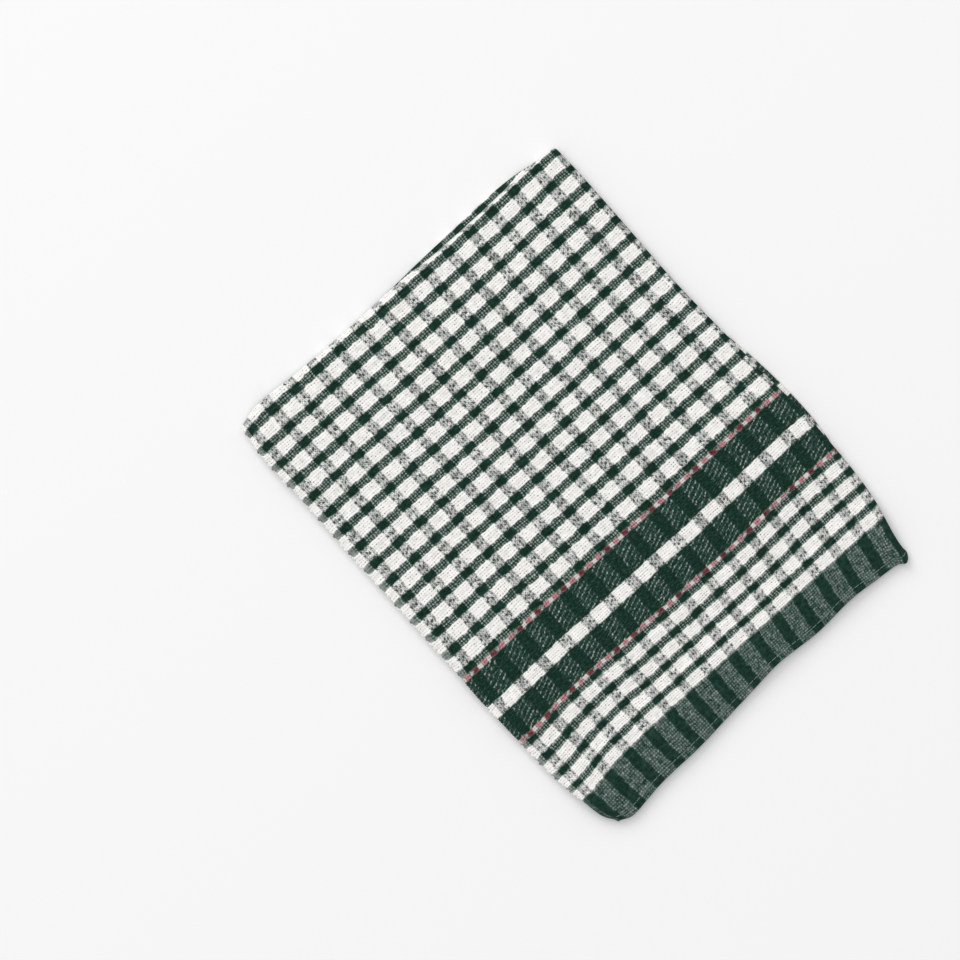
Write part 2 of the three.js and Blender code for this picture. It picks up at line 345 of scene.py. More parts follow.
def cloth_surface(share, side_turn, y, fold_turn, face_sign):
    """Points, ends and picks of one face of the cloth over its width and length.

    The width coordinate goes from the outer layer's selvedge (share 0) to the side fold, where
    side_turn goes from a quarter turn up to a quarter turn down, and back to the inner layer's
    selvedge. A point lies `reach` above the middle of its pair of layers, and the far fold carries
    the pair round an arc of radius FOLD_RADIUS + reach, from the upper pair to the lower.
    """
    inner_layer = side_turn < 0
    down = (1 - np.sin(fold_turn)) / 2
    upper = down < TURNING
    lower = down > 1 - TURNING
    folding = ~upper & ~lower
    left = (1 - down) * through(UPPER_SIDES, 1, y) + down * through(LOWER_SIDES, 1, y)
    right = (1 - down) * through(UPPER_SIDES, 2, y) + down * through(LOWER_SIDES, 2, y) - OUTER_REACH
    start = left + SELVEDGE_INSET * inner_layer
    flat_x = start + share * (right - start)
    from_side = np.where(share < 1, share * (right - start), NO_EDGE)
    hem_y = np.where(lower, LOWER_HEM_Y, UPPER_HEM_Y)
    from_hem = np.where(folding, NO_EDGE, y - hem_y)

    hem_share = 1 - step(*HEM_EASES, from_hem)
    full = SHEET + (HEM - SHEET) * hem_share
    rounding = rim(from_side, SIDE_ROUNDING) * rim(from_hem, HEM_ROUNDING)
    groove = STITCH_GROOVE * np.exp(-((from_hem - STITCH_LINE) / STITCH_WIDTH) ** 2)
    face = INNER_REACH + full / 2 + face_sign * (full / 2 * rounding - groove)
    x = flat_x + face * np.cos(side_turn)
    reach = face * np.sin(side_turn)

    # The turned far fold, its lower half pushed out past the crease in the upper one.
    radius = FOLD_RADIUS + reach
    bulge = through(FOLD_COURSE, 2, x)
    turn_y = through(FOLD_COURSE, 1, x) - FOLD_HEIGHT
    near_fold = step(FOLD_Y - FOLD_WANDER_REACH, FOLD_Y, y)
    tucked = np.where(inner_layer, down, step(*TUCK_SPAN, down))
    pushed = np.where(inner_layer, down, step(*PUSH_SPAN, down))
    placed = y + near_fold * (turn_y + bulge * pushed - FOLD_Y) + radius * np.cos(fold_turn)
    z = FOLD_HEIGHT + radius * np.sin(fold_turn)

    # The upper pair's hem wanders, lifts, climbs over the lower hem and droops.
    wander = through(HEM_COURSE, 1, x) * step(UPPER_HEM_Y + HEM_WANDER_REACH, UPPER_HEM_Y, y)
    sag = through(CORNER_SAG, 1, x) * through(CORNER_SAG_FADE, 1, y)
    lift = through(HEM_COURSE, 2, x) * step(UPPER_HEM_Y + HEM_LIFT_REACH, UPPER_HEM_Y, y)
    ridge = RIDGE_RISE * step(RIDGE_START_Y, RIDGE_TOP_Y, y)
    droop = DROOP_DEPTH * step(DROOP_START_Y, DROOP_END_Y, y)
    droop = droop + LIMP_DEPTH * step(LIMP_START_Y, UPPER_HEM_Y, y)
    wave = 1 + np.sin(x / UNEVEN_ACROSS + UNEVEN_PHASE) * np.sin(y / UNEVEN_ALONG)
    uneven = UNEVEN_HEIGHT * wave * step(FOLD_Y, FOLD_Y - UNEVEN_FADE, y)
    inland = step(0, SWELL_FADE, from_hem) * step(0, SWELL_FADE, FOLD_Y - y)
    for middle_x, middle_y, across, along, height in SWELLS:
        swell = np.exp(-((x - middle_x) / across) ** 2 - ((y - middle_y) / along) ** 2)
        uneven = uneven + height * swell * inland
    corner = CORNER_PULL * np.exp(-(np.hypot(from_hem, from_side) / CORNER_REACH) ** 2)
    hook = HOOK_PULL * step(HOOK_X, HOOK_X + HOOK_WIDTH, x)
    hook = hook * step(UPPER_HEM_Y + HOOK_REACH, UPPER_HEM_Y, y)
    x = x + upper * (corner - hook)
    placed = placed + upper * (wander + sag + corner)
    z = z + upper * (ridge - droop + lift + uneven)
    z = z + lower * (full - SHEET)

    # Threads: ends go on round the side fold, and picks round the far fold.
    bulge_share = bulge / BULGE_FULL
    hidden_picks = bulge_share * (TUCKED_PICKS * tucked + BULGE_PICKS * pushed)
    upper_end = end_at(flat_x, y, left) + BULGE_ENDS * bulge_share * tucked
    fold_end = (1 - down) * end_at(right, y, left) + down * LOWER_FOLD_END
    round_side = OUTER_REACH * (QUARTER - side_turn) / END_PITCH
    returning = fold_end + round_side
    end = upper_end + round_side
    end = np.where(inner_layer & (share < 1), ENDS - share * (ENDS - returning), end)
    lower_outer = share * LOWER_FOLD_END + round_side
    end = np.where(lower & ~inner_layer, lower_outer, end)
    round_fold = radius * (QUARTER - fold_turn) / BODY_PITCH
    pick = pick_at(y - row_drift(x, y)) + round_fold + hidden_picks
    from_lower_hem = pick_at(y - LOWER_HEM_Y + UPPER_HEM_Y)
    at_fold = pick_at(FOLD_Y) + radius * math.pi / BODY_PITCH
    slack = at_fold - (PICKS - pick_at(FOLD_Y - LOWER_HEM_Y + UPPER_HEM_Y))
    lower_pick = PICKS - from_lower_hem + slack * step(SLACK_START_Y, FOLD_Y, y)
    pick = np.where(lower, lower_pick, pick)
    return np.stack([x, placed, z], -1), np.stack([end, pick], -1)


# The grid: fine over the top layer, coarser over the hidden ones, with extra lines at edges and hems.
# Steps are a count, and how much closer they lie towards both ends.
EDGE_LINES = np.array([0, 0.0006, 0.0018, 0.0032])
HEM_LINES = np.array([0, 0.15, 0.45, 0.8, 1.6, 2.3, 2.9, 3.3, 3.7, 4.3, 5.2])
TOP_STEPS = (104, 0)
BACK_STEPS = (26, 0.5)
UPPER_STEPS = (150, 0)
LOWER_STEPS = (40, 0.4)
SIDE_LINES = 11
FOLD_LINES = 21


def shares_between(count, crowding):
    """The shares between 0 and 1 in a count of steps: t - crowding * sin(2 pi t) / (2 pi)."""
    even = np.linspace(0, 1, count + 1)
    return (even - crowding * np.sin(2 * math.pi * even) / (2 * math.pi))[1:-1]


def lines_to_fold(hem_y, steps):
    """Lines of y from a hem to the far fold: the close ones of the hem, then steps over the rest."""
    inland = (FOLD_Y - hem_y - HEM_LINES[-1]) * shares_between(*steps)
    return np.concatenate([hem_y + HEM_LINES, hem_y + HEM_LINES[-1] + inland])


def half_turn(before, turns, after):
    """The turn of each line: a quarter turn up before a fold, its own turns, a quarter turn down after."""
    return np.concatenate([np.full(len(before), QUARTER), turns, np.full(len(after), -QUARTER)])


top_shares = np.concatenate([EDGE_LINES, shares_between(*TOP_STEPS)])
back_shares = np.concatenate([EDGE_LINES, shares_between(*BACK_STEPS)])
side_turns = np.linspace(QUARTER, -QUARTER, SIDE_LINES)
share_line = np.concatenate([top_shares, np.ones(SIDE_LINES), back_shares[::-1]])
side_line = half_turn(top_shares, side_turns, back_shares)
upper_lines = lines_to_fold(UPPER_HEM_Y, UPPER_STEPS)
lower_lines = lines_to_fold(LOWER_HEM_Y, LOWER_STEPS)
fold_turns = np.linspace(QUARTER, -QUARTER, FOLD_LINES)
y_line = np.concatenate([upper_lines, np.full(FOLD_LINES, FOLD_Y), lower_lines[::-1]])
fold_line = half_turn(upper_lines, fold_turns, lower_lines)


def quads(grid):
    """The quads of a grid of point numbers, four corners each."""
    return np.stack([grid[:-1, :-1], grid[:-1, 1:], grid[1:, 1:], grid[1:, :-1]], -1).reshape(-1, 4)


def sheet_faces(rows, columns):
    """Quads of two grids of points, one above the other, and of the strips that join their rims."""
    outer, inner = np.arange(2 * rows * columns).reshape(2, rows, columns)
    strips = [
        np.stack([inner[0], outer[0]]),
        np.stack([outer[-1], inner[-1]]),
        np.stack([outer[:, 0], inner[:, 0]]),
        np.stack([inner[:, -1], outer[:, -1]]),
    ]
    return np.concatenate([quads(outer), quads(inner)[:, ::-1], *[quads(strip) for strip in strips]])


# The cloth's flat map, for colours that are baked onto it: left, right, bottom and top of each block.
# The top layer with both folds has most of it. The hidden layers and the rims share what is left.
MAP_BLOCKS = np.array([
    [
        [(0.005, 0.715, 0.005, 0.875), (0.730, 0.860, 0.510, 0.955)],
        [(0.730, 0.995, 0.005, 0.500), (0.870, 0.995, 0.510, 0.955)],
    ],
    [
        [(0.005, 0.355, 0.885, 0.920), (0.365, 0.715, 0.885, 0.920)],
        [(0.005, 0.355, 0.930, 0.963), (0.365, 0.715, 0.930, 0.963)],
    ],
])
RIM_BLOCKS = np.array([
    (0.005, 0.995, 0.9695, 0.9740),
    (0.005, 0.995, 0.9760, 0.9805),
    (0.005, 0.995, 0.9825, 0.9870),
    (0.005, 0.995, 0.9890, 0.9935),
])
UPPER_ROWS = len(upper_lines) + FOLD_LINES - 1
TOP_COLUMNS = len(top_shares) + SIDE_LINES - 1


def split_share(length, split):
    """Start and end of each step along a line, as shares of the part before or after the split."""
    ends = np.stack([length[:-1], length[1:]], -1)
    before = (ends - length[0]) / (length[split] - length[0])
    after = (ends - length[split]) / (length[-1] - length[split])
    is_after = np.arange(len(ends)) >= split
    return np.where(is_after[:, None], after, before), is_after.astype(int)


def flat_map(row_length, column_length):
    """Map coordinates of each corner of each face, in the order in which sheet_faces lists them."""
    down, is_lower = split_share(row_length, UPPER_ROWS)
    along, is_back = split_share(column_length, TOP_COLUMNS)
    corners = ((0, 0), (1, 0), (1, 1), (0, 1))
    parts = []
    for blocks in MAP_BLOCKS:
        left, right, bottom, top = np.moveaxis(blocks[is_lower[:, None], is_back[None]], -1, 0)
        across = [left + (right - left) * along[None, :, a] for a in (0, 1)]
        upwards = [bottom + (top - bottom) * down[:, None, b] for b in (0, 1)]
        quad = [np.stack([across[a], upwards[b]], -1) for a, b in corners]
        parts.append(np.stack(quad, -2).reshape(-1, 4, 2))
    parts[1] = parts[1][:, ::-1]
    for number, (left, right, bottom, top) in enumerate(RIM_BLOCKS):
        length = column_length if number < 2 else row_length
        share = (length - length[0]) / (length[-1] - length[0])
        run = left + (right - left) * np.stack([share[:-1], share[1:]], -1)
        quad = [np.stack([run[:, a], 0 * run[:, a] + (top if b else bottom)], -1) for a, b in corners]
        parts.append(np.stack(quad, -2))
    return np.concatenate(parts)


def add_object(name, data):
    """A new object of the scene."""
    made = bpy.data.objects.new(name, data)
    bpy.context.scene.collection.objects.link(made)
    return made


def build_mesh(name, points, faces, threads=None):
    """A smooth mesh object of points and quads, with its thread coordinates as a point attribute."""
    mesh = bpy.data.meshes.new(name)
    mesh.from_pydata(points.tolist(), [], faces if isinstance(faces, list) else faces.tolist())
    if threads is not None:
        attribute = mesh.attributes.new("threads", "FLOAT_VECTOR", "POINT")
        flat = np.concatenate([threads, np.zeros((len(threads), 1))], axis=1)
        attribute.data.foreach_set("vector", flat.astype(np.float32).ravel())
    mesh.polygons.foreach_set("use_smooth", np.ones(len(mesh.polygons), bool))
    mesh.update()
    return add_object(name, mesh)


share_grid, y_grid = np.meshgrid(share_line, y_line)
side_grid, fold_grid = np.meshgrid(side_line, fold_line)
faces_of_sheet = [cloth_surface(share_grid, side_grid, y_grid, fold_grid, sign) for sign in (1, -1)]
sheet_points = np.concatenate([points.reshape(-1, 3) for points, threads in faces_of_sheet])
sheet_threads = np.concatenate([threads.reshape(-1, 2) for points, threads in faces_of_sheet])

outer_grid = faces_of_sheet[0][0]
row_steps = np.linalg.norm(np.diff(outer_grid[:, len(top_shares) // 2], axis=0), axis=1)
column_steps = np.linalg.norm(np.diff(outer_grid[len(upper_lines) // 2], axis=0), axis=1)
map_corners = flat_map(np.append(0, np.cumsum(row_steps)), np.append(0, np.cumsum(column_steps)))

# The folded cloth is centred where the frame has it.
node_box = np.array(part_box("dishcloth"))
node_middle = node_box.mean(axis=0) / MM
own_middle = (sheet_points.min(axis=0) + sheet_points.max(axis=0)) / 2
to_frame = np.array([node_middle[0] - own_middle[0], node_middle[1] - own_middle[1], 0])
cloth = build_mesh(
    "woven_cloth",
    (sheet_points + to_frame) * MM,
    sheet_faces(*share_grid.shape),
    sheet_threads,
)
bake_layer = cloth.data.uv_layers.new(name="OFBake")
bake_layer.data.foreach_set("uv", map_corners.astype(np.float32).ravel())

# The weave is a green and white check in plain weave, with two broad green bands in a weft-faced twill at
# each end, and a fine red line outside each band. It is worked out thread by thread from the end and pick
# numbers. Its colours are given and mixed as the eye sees them, and are made linear at the end.
GREEN = (0.048, 0.181, 0.136, 1)
WHITE = (0.980, 0.974, 0.959, 1)
RED = (0.58, 0.235, 0.28, 1)
BLENDED = (0.464, 0.502, 0.482, 1)
BLENDED_AT = 0.4
EYE_GAMMA = 2.2

# The picks of one end border, from the hem inwards: where each stripe starts, and its weft and weave.
BORDER = [
    (0, "green", "plain"),
    (16, "white", "plain"),
    (21, "green", "plain"),
    (24, "white", "plain"),
    (29, "green", "plain"),
    (32, "white", "plain"),
    (37, "green", "plain"),
    (40, "white", "plain"),
    (45, "green", "plain"),
    (48, "red", "plain"),
    (50, "green", "twill"),
    (74, "white", "plain"),
    (80, "green", "twill"),
    (104, "red", "plain"),
    (106, "green", "plain"),
    (109, "white", "plain"),
]
BORDER_PICKS = 109
HEM_PICKS = 16
BODY_REPEAT = 8
BODY_GREEN = (5, 8)
COLUMN_REPEAT = 10
COLUMN_GREEN = 4
MARGIN = 3
STRIPE_SOFTNESS = 0.36
YARN_BUMP = 0.00028


def new_material(name):
    """A material, its node tree and its shader."""
    made = bpy.data.materials.new(name)
    made.use_nodes = True
    return made, made.node_tree, made.node_tree.nodes["Principled BSDF"]


def set_inputs(node, **values):
    """Sets inputs of a node. In their names a low line stands for a space."""
    for name, value in values.items():
        node.inputs[name.replace("_", " ")].default_value = value


cotton, tree, shader = new_material("cotton_check")


def feed(socket, value):
    """Links a socket, or sets it to a number or colour."""
    if isinstance(value, bpy.types.NodeSocket):
        tree.links.new(value, socket)
    else:
        socket.default_value = value


def calc(operation, *inputs):
    """One Math node. Its inputs are numbers or sockets."""
    node = tree.nodes.new("ShaderNodeMath")
    node.operation = operation
    for socket, value in zip(node.inputs, inputs):
        feed(socket, value)
    return node.outputs[0]


def chain(operation, values):
    """Numbers or sockets joined by an operation, one after another."""
    result = values[0]
    for value in values[1:]:
        result = calc(operation, result, value)
    return result


def plus(*terms):
    """The sum of numbers or sockets."""
    return chain("ADD", terms)


def times(*factors):
    """The product of numbers or sockets."""
    return chain("MULTIPLY", factors)


def rest(share):
    """What a share leaves: 1 - share."""
    return calc("SUBTRACT", 1, share)


def distance(value, middle):
    """How far a value lies from a middle, on either side."""
    return calc("ABSOLUTE", calc("SUBTRACT", value, middle))


def from_nearest(value, middle, period):
    """How far a value lies past the nearest of the middles that stand a period apart."""
    return calc("WRAP", calc("SUBTRACT", value, middle), period / 2, -period / 2)


def mixed(share, first, second):
    """The number between two numbers or sockets at a share: first + share * (second - first)."""
    return calc("MULTIPLY_ADD", share, calc("SUBTRACT", second, first), first)


def scattered(value, amount):
    """A value from 0 to 1, turned into one round 0 that reaches half the amount each way."""
    return times(calc("SUBTRACT", value, 0.5), amount)


def blend(share, first, second):
    """One colour Mix node, from the first colour to the second."""
    node = tree.nodes.new("ShaderNodeMix")
    node.data_type = "RGBA"
    for name, value in (("Factor_Float", share), ("A_Color", first), ("B_Color", second)):
        feed(next(s for s in node.inputs if s.identifier == name), value)
    return next(s for s in node.outputs if s.identifier == "Result_Color")


def ease(value, low, high):
    """A smooth share of a value between low and high, also where high lies below low."""
    node = tree.nodes.new("ShaderNodeMapRange")
    node.interpolation_type = "SMOOTHSTEP"
    feed(node.inputs["Value"], value)
    set_inputs(node, From_Min=low, From_Max=high)
    return node.outputs["Result"]


def vector_of(x, y, z=0.0):
    """A vector of three numbers or sockets."""
    node = tree.nodes.new("ShaderNodeCombineXYZ")
    for socket, value in zip(node.inputs, (x, y, z)):
        feed(socket, value)
    return node.outputs[0]


def noise(vector, scale, detail=2.0):
    """The value of a Noise node at a vector, from 0 to 1."""
    node = tree.nodes.new("ShaderNodeTexNoise")
    feed(node.inputs["Vector"], vector)
    set_inputs(node, Scale=scale, Detail=detail)
    return node.outputs["Fac"]


def chance(x, y, draw):
    """A number from 0 to 1 for each pair of whole numbers x and y. Another draw gives others."""
    node = tree.nodes.new("ShaderNodeTexWhiteNoise")
    feed(node.inputs["Vector"], vector_of(x, y, draw))
    return node.outputs["Value"]


def roundness(offset, half_width):
    """Height of a round thread across its width: the root of 1 - (offset / half width)^2."""
    share = calc("DIVIDE", offset, half_width)
    return calc("SQRT", calc("MAXIMUM", calc("MULTIPLY_ADD", share, times(share, -1), 1), 0))


def stripe(value, half_width):
    """A stripe round 0 with soft edges, where the fibres of neighbouring threads mix."""
    return ease(calc("ABSOLUTE", value), half_width + STRIPE_SOFTNESS, half_width - STRIPE_SOFTNESS)


threads_node = tree.nodes.new("ShaderNodeAttribute")
threads_node.attribute_name = "threads"
threads = threads_node.outputs["Vector"]
split = tree.nodes.new("ShaderNodeSeparateXYZ")
tree.links.new(threads, split.inputs[0])
even_end, even_pick = split.outputs[0], split.outputs[1]


def mottle(scale, amount, detail=1.0, place=threads):
    """Soft random patches over the threads, round 0, that reach half the amount each way."""
    return scattered(noise(place, scale, detail), amount)


# Each thread wanders a little from its even place, and each stripe is frayed where two colours meet.
# Here and below, a patch is given by its scale, amount and detail.
END_WANDER = (0.35, 1.4, 2.0)
PICK_WANDER = (0.35, 1.2, 2.0)
FRAY = (0.8, 1.1, 1.0)
end = plus(even_end, mottle(*END_WANDER))
pick = plus(even_pick, mottle(*PICK_WANDER, vector_of(even_pick, even_end, 7.0)))
end_number = calc("FLOOR", end)
pick_number = calc("FLOOR", pick)
end_offset = calc("SUBTRACT", calc("SUBTRACT", end, end_number), 0.5)
pick_offset = calc("SUBTRACT", calc("SUBTRACT", pick, pick_number), 0.5)
from_hem = calc("SUBTRACT", PICKS / 2, distance(pick, PICKS / 2))
from_selvedge = calc("SUBTRACT", ENDS / 2, distance(end, ENDS / 2))
frayed_pick = plus(from_hem, mottle(*FRAY, vector_of(even_pick, even_end, 3.0)))
frayed_end = plus(end, mottle(*FRAY))

# The chart of the weft: the nearer hem's border, and past it the body's repeat. The ramp's first channel
# says how green the weft is, its second where the weave is twill, and its third where the weft is red.
chart = tree.nodes.new("ShaderNodeValToRGB")
stops = []
for (start, *here), (_, *before) in zip(BORDER, BORDER[:1] + BORDER[:-1]):
    for nudge, (weft, weave) in ((-STRIPE_SOFTNESS, before), (STRIPE_SOFTNESS, here)):
        channels = (weft == "green", weave == "twill", weft == "red", 1)
        stops.append((max(start + nudge, 0) / BORDER_PICKS, channels))
stops = stops[1:]
while len(chart.color_ramp.elements) < len(stops):
    chart.color_ramp.elements.new(1.0)
for element, (position, channels) in zip(chart.color_ramp.elements, stops):
    element.position = min(position, 1)
    element.color = channels
tree.links.new(calc("DIVIDE", frayed_pick, BORDER_PICKS), chart.inputs["Fac"])
charted = tree.nodes.new("ShaderNodeSeparateColor")
tree.links.new(chart.outputs["Color"], charted.inputs[0])
border_green, twill_share, red_line = charted.outputs
twill = calc("GREATER_THAN", twill_share, 0.5)

body_middle = BORDER_PICKS + sum(BODY_GREEN) / 2
to_body_stripe = from_nearest(frayed_pick, body_middle, BODY_REPEAT)
in_body = calc("GREATER_THAN", from_hem, BORDER_PICKS + BODY_GREEN[0] / 2)
body_green = times(in_body, stripe(to_body_stripe, (BODY_GREEN[1] - BODY_GREEN[0]) / 2))
weft_green = calc("MAXIMUM", border_green, body_green)

# The chart of the warp: four green ends, then six white, after a narrow white margin.
MARGIN_EDGE = (3.4, 1.0)
warp_green = stripe(from_nearest(frayed_end, MARGIN + COLUMN_GREEN / 2, COLUMN_REPEAT), COLUMN_GREEN / 2)
margin = ease(from_selvedge, *MARGIN_EDGE)

weft_white = rest(weft_green)
warp_white = rest(warp_green)
dark_under = times(weft_white, warp_green)
past_hem = calc("GREATER_THAN", from_hem, HEM_PICKS)
in_hem = rest(past_hem)


def by_weave(body, hem, bands):
    """A number that differs between the body, the hem and the twill bands."""
    return mixed(twill, mixed(in_hem, body, hem), bands)


# How the threads pass over and under: an end rises over every second pick, in the twill every fourth,
# where its float lies aslant.
FLOAT_SLOPE = 1.1
FLOAT_UNEVEN = 0.8
repeat = calc("MULTIPLY_ADD", twill, 2, 2)
float_chance = chance(end_number, calc("FLOOR", times(pick_number, 0.25)), 2.0)
float_slope = calc("MULTIPLY_ADD", end_offset, FLOAT_SLOPE, scattered(float_chance, FLOAT_UNEVEN))
along = calc("SUBTRACT", calc("SUBTRACT", pick, end_number), 0.5)
along = calc("SUBTRACT", along, times(twill, float_slope))
rise_number = calc("ROUND", calc("DIVIDE", along, repeat))
to_rise = calc("SUBTRACT", along, times(rise_number, repeat))
half_repeat = plus(1, twill)
across = calc("SUBTRACT", calc("SUBTRACT", end, pick_number), 0.5)
to_raised_end = calc("WRAP", across, half_repeat, times(half_repeat, -1))

# A raised end shows as a small dome, the root of 1 - u^2 - v^2 - lean * u * v, where u and v are shares
# of its half width and half length. Each leans and stands aside a little. Two numbers are for the plain
# weave and the twill.
DOME_WIDTH = (0.50, 0.56)
DOME_LENGTH = (0.56, 0.88)
DOME_LEAN = (1.9, 0.8)
DOME_ASIDE = (0.36, 0.20)
DOME_AHEAD = 0.4
crossing = chance(end_number, rise_number, 0.0)
lean = scattered(chance(end_number, rise_number, 5.0), mixed(twill, *DOME_LEAN))
aside = scattered(chance(end_number, rise_number, 11.0), mixed(twill, *DOME_ASIDE))
ahead = scattered(chance(end_number, rise_number, 13.0), DOME_AHEAD)
across_share = calc("DIVIDE", plus(end_offset, aside), mixed(twill, *DOME_WIDTH))
along_share = calc("DIVIDE", plus(to_rise, ahead), mixed(twill, *DOME_LENGTH))
across_square = times(across_share, across_share)
squares = plus(across_square, times(along_share, along_share))
leaning = times(across_share, along_share, lean)
dome = calc("SQRT", calc("MAXIMUM", calc("SUBTRACT", rest(squares), leaning), 0))

# The white rows are uneven. The pick in the middle of each is thin, the picks on both sides of it are
# full, and the rows between the hem and the first band hide more of their green ends.
BORDER_ROW_AT = 18.4
BODY_ROW_SHIFT = 0.1
FULL_PICK_AT = 1.3
PICK_EDGE = (0.9, 0.2)
THIN_SHARE = -0.7
BORDER_ROWS_END = 48
row_middle = mixed(in_body, BORDER_ROW_AT, body_middle + BODY_REPEAT / 2 + BODY_ROW_SHIFT)
to_thin_pick = calc("ABSOLUTE", from_nearest(from_hem, row_middle, BODY_REPEAT))
thin_pick = ease(to_thin_pick, *PICK_EDGE)
full_pick = ease(distance(to_thin_pick, FULL_PICK_AT), *PICK_EDGE)
fuller = times(weft_white, calc("MULTIPLY_ADD", thin_pick, THIN_SHARE, full_pick))
border_grey = times(dark_under, calc("LESS_THAN", from_hem, BORDER_ROWS_END))

# How strongly each dome stands out, from crossing to crossing and from patch to patch. Green weft covers
# the ends near a selvedge, most of all in the hem. Three numbers are for body, hem and twill bands,
# SPECK_SCATTER and PLAIN_DOTS for body and hem, STRENGTH for plain weave and twill.
STRENGTH = (0.60, 0.61)
CROSSING_SCATTER = (0.40, 0.68, 0.50)
PATCH_SCALE = 0.30
PATCH_SCATTER = (0.9, 1.9, 0.4)
SPECK_SCALE = 0.75
SPECK_SCATTER = (0.4, 1.6)
GREY_STRENGTH = (0.6, 0.1)
FULL_COVERS = -0.45
BORDER_COVERS = -0.16
MARGIN_COVERS = 0.75
HEM_EDGE = (4.2, 3.4)
DOT_EDGE = (0.0, 0.95)
PLAIN_DOTS = (0.56, 0.28)
GREY_DOT = 0.69
TWILL_DOT = 0.57
patch = noise(threads, PATCH_SCALE, 1.0)
strength = plus(
    mixed(twill, *STRENGTH),
    scattered(crossing, by_weave(*CROSSING_SCATTER)),
    scattered(patch, by_weave(*PATCH_SCATTER)),
    mottle(SPECK_SCALE, mixed(in_hem, *SPECK_SCATTER)),
)
strength = calc("MULTIPLY_ADD", dark_under, calc("MULTIPLY_ADD", crossing, *GREY_STRENGTH), strength)
strength = calc("MULTIPLY_ADD", times(fuller, dark_under), FULL_COVERS, strength)
strength = calc("MULTIPLY_ADD", border_grey, BORDER_COVERS, strength)
plain_green = times(weft_green, rest(twill))
cover_share = mixed(in_hem, times(margin, MARGIN_COVERS), ease(from_selvedge, *HEM_EDGE))
covered = rest(times(plain_green, cover_share))
strength = times(calc("MAXIMUM", strength, 0), covered)
raised = times(dome, strength)
dot_share = mixed(twill, mixed(dark_under, mixed(in_hem, *PLAIN_DOTS), GREY_DOT), TWILL_DOT)
dot = times(ease(raised, *DOT_EDGE), dot_share)

# Where an end passes under a pick it still shows a little beside the thread, as a spot between weak and
# clear by chance. Both have a number for plain weave and one for twill, SPOT_SHARES for body and hem.
GAP_EDGE = (0.24, 0.5)
SPOT_EDGE = (0.5, 0.05)
WEAK_SPOT = (0.44, 0.0)
CLEAR_SPOT = (0.68, 0.14)
SPOT_SHARES = (0.94, 0.71)
LEAST_WARP = (0.09, 0.165, 0.05)
off_end = calc("ABSOLUTE", end_offset)
off_pick = calc("ABSOLUTE", pick_offset)
gap = ease(off_pick, *GAP_EDGE)
spot_chance = chance(end_number, pick_number, 3.0)
spot = times(
    ease(off_end, *SPOT_EDGE),
    ease(off_pick, *SPOT_EDGE),
    covered,
    mixed(spot_chance, mixed(twill, *WEAK_SPOT), mixed(twill, *CLEAR_SPOT)),
    mixed(in_hem, *SPOT_SHARES),
)
warp_shows = calc("MAXIMUM", calc("MAXIMUM", dot, spot), by_weave(*LEAST_WARP))

# Whiteness, from green yarn at 0 to white yarn at 1, with the yarns' and fibres' own unevenness. A tone
# changes slowly along its thread and leaps to the next one. Green weft pales where it turns at a
# selvedge. GREEN_SHARES and EVEN_WHITER are for body and hem.
ALONG_THREAD = 0.16
THREAD_LEAP = 3.7
FIBRE_LEAP = 7.3
FIBRE_SLANT = 1.6
FIBRES_ALONG = 1.5
FIBRES_ACROSS = 5.0
YARN_SCATTER = 0.20
FIBRE_SCATTER = 0.16
TONE_PATCHES = (0.55, 0.16)
BAND_SCALE = 0.9
BAND_AMOUNT = 0.42
WIDE_PATCHES = (0.5, 0.42)
SMALL_PATCHES = (1.0, 0.30)
GREEN_SHARES = (0.5, 1)
FULL_WHITER = 0.07
BORDER_WHITER = 0.04
EVEN_WHITER = (0.022, 0.055)
MARGIN_WHITER = 0.35
along_weft = times(end, ALONG_THREAD)
along_warp = times(pick, ALONG_THREAD)
weft_tone = noise(vector_of(along_weft, times(pick_number, THREAD_LEAP)), 1.0, 2.0)
warp_tone = noise(vector_of(times(end_number, THREAD_LEAP), along_warp, 5.0), 1.0, 2.0)
fibre_along = calc("MULTIPLY_ADD", pick_offset, FIBRE_SLANT, times(end, FIBRES_ALONG))
fibre_across = calc("MULTIPLY_ADD", pick_offset, FIBRES_ACROSS, times(pick_number, FIBRE_LEAP))
fibres = noise(vector_of(fibre_along, fibre_across), 1.0, 3.0)
whiteness = plus(
    mixed(warp_shows, weft_white, warp_white),
    scattered(mixed(warp_shows, weft_tone, warp_tone), YARN_SCATTER),
    scattered(fibres, FIBRE_SCATTER),
    mottle(*TONE_PATCHES),
)
whiteness = calc("MULTIPLY_ADD", fuller, FULL_WHITER, whiteness)
whiteness = calc("MULTIPLY_ADD", border_grey, BORDER_WHITER, whiteness)
band_patches = mottle(BAND_SCALE, times(twill, BAND_AMOUNT))
whiteness = plus(whiteness, band_patches)
green_patches = plus(mottle(*WIDE_PATCHES), mottle(*SMALL_PATCHES))
patchy = times(weft_green, warp_white, mixed(in_hem, *GREEN_SHARES))
whiteness = calc("MULTIPLY_ADD", green_patches, patchy, whiteness)
whiteness = plus(whiteness, mixed(in_hem, *EVEN_WHITER))
fading = times(margin, past_hem, rest(twill), weft_green, MARGIN_WHITER)
whiteness = plus(whiteness, fading)
tones = tree.nodes.new("ShaderNodeValToRGB")
tones.color_ramp.elements[0].color = GREEN
tones.color_ramp.elements[1].color = WHITE
tones.color_ramp.elements.new(BLENDED_AT).color = BLENDED
tree.links.new(whiteness, tones.inputs["Fac"])
yarn = tones.outputs["Color"]

